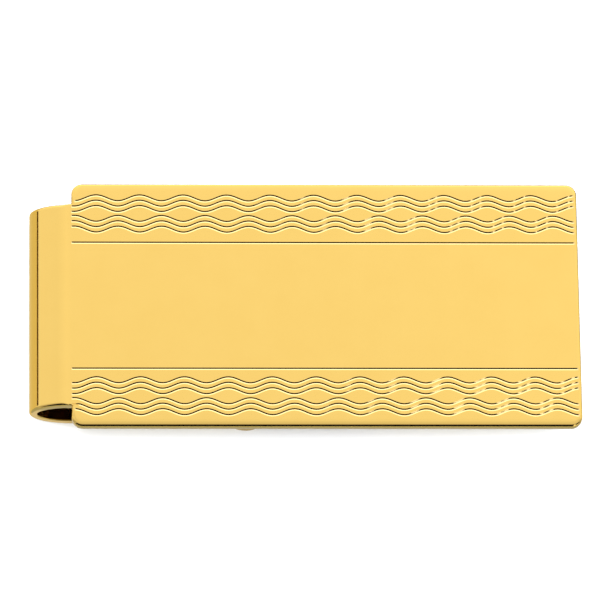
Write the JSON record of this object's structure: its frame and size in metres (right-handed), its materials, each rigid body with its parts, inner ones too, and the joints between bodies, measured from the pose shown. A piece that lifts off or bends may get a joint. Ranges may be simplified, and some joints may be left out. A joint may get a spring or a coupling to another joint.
{
  "type": "hinged money clip",
  "caption": "Polished gold-tone hinged money clip: engraved rectangular plate with wave borders, U-bend, fixed leg and a spring-held swinging arm.",
  "frame": {"origin": "on the surface the clip lies on, under the middle of its overall length and width", "axes": "+X towards the plate's free end, +Y across the plate, +Z out of the plate's engraved face"},
  "size_m": [0.055, 0.0256, 0.0083],
  "materials": {
    "gold_plate": "polished gold plating over brass",
    "gold_hinge": "polished gold plating, worn a little where it turns",
    "hinge_pin": "drawn wire with peened ends, gold plated",
    "gold_arm": "polished gold plating with fine wipe marks",
    "spring_steel": "rolled spring steel, gold flashed",
    "rivets": "peened, gold plated"
  },
  "bodies": {
    "arm": {"clip_arm": "gold_arm", "arm_knuckle": "gold_hinge"},
    "plate": {"front_plate": "gold_plate", "leg_knuckles": "gold_hinge", "hinge_pin": "hinge_pin", "leaf_spring": "spring_steel", "spring_rivets": "rivets"}
  },
  "joints": [
    {"name": "clip_hinge", "type": "hinge", "parent": "arm", "child": "plate", "pos_m": [-0.0058, 0, 0.0012], "axis": [0, -1, 0], "range_deg": [0, 90], "stiffness_Nm_per_rad": 0.03, "springref_deg": -28.65}
  ]
}
